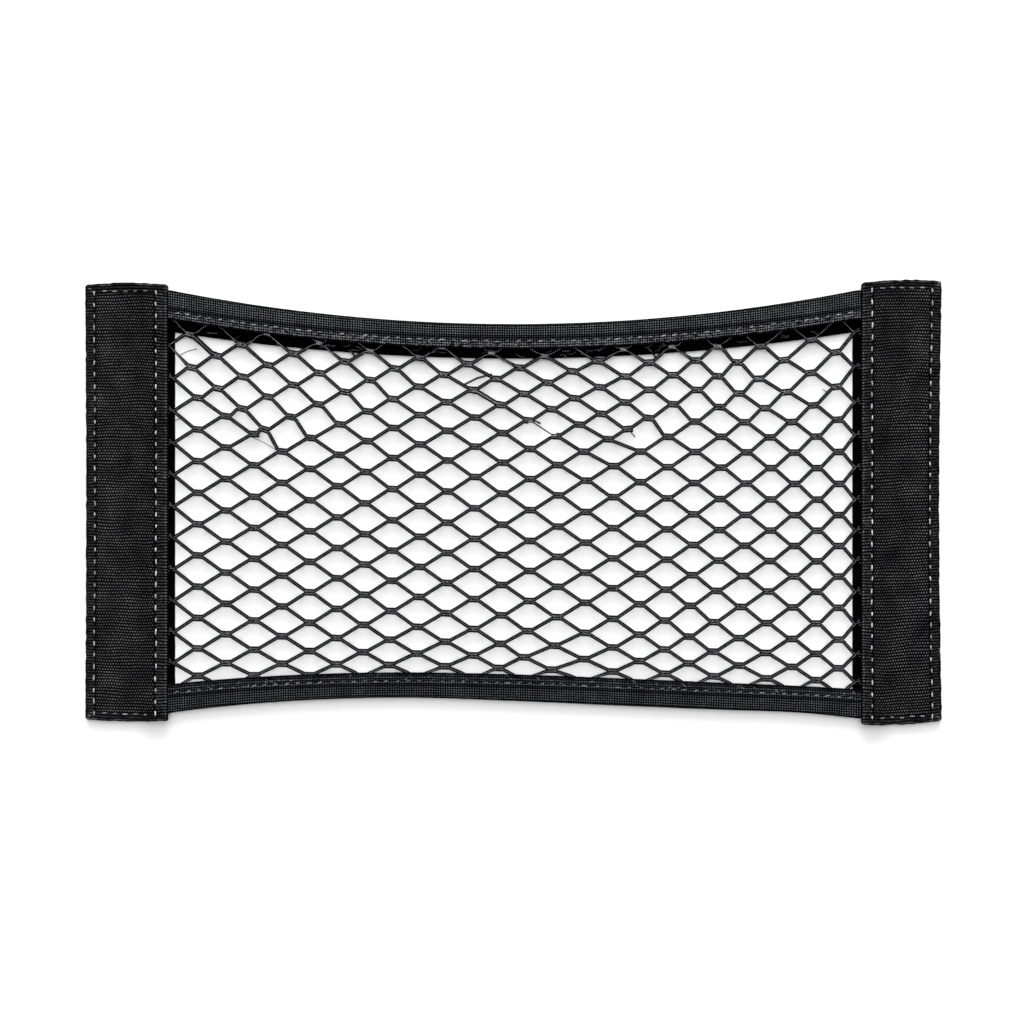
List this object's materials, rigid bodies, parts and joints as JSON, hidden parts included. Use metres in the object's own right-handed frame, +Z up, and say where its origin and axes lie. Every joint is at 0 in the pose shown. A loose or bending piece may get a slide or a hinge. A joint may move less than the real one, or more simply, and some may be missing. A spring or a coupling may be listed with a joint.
{
  "type": "car mesh pocket",
  "caption": "Flat car storage pocket: a knotted stretch net bound with woven tape along top and bottom, and a broad woven fixing band down each end.",
  "frame": {"origin": "middle of the underside on which the pocket lies", "axes": "+X along the pocket's length, +Y towards its top edge, +Z up out of the surface"},
  "size_m": [0.4892, 0.2544, 0.0069],
  "materials": {
    "elastic_net_yarn": "charcoal two-ply elastic cord, soft sheen",
    "woven_elastic_tape": "black woven tape, matt",
    "woven_band_cloth": "black coarse plain weave, matt",
    "plain_back_strip": "black plain cloth, matt"
  },
  "bodies": {
    "root": {"net": "elastic_net_yarn", "top_tape": "woven_elastic_tape", "bottom_tape": "woven_elastic_tape", "left_band_front": "woven_band_cloth", "left_band_back": "plain_back_strip", "right_band_front": "woven_band_cloth", "right_band_back": "plain_back_strip"}
  },
  "joints": []
}
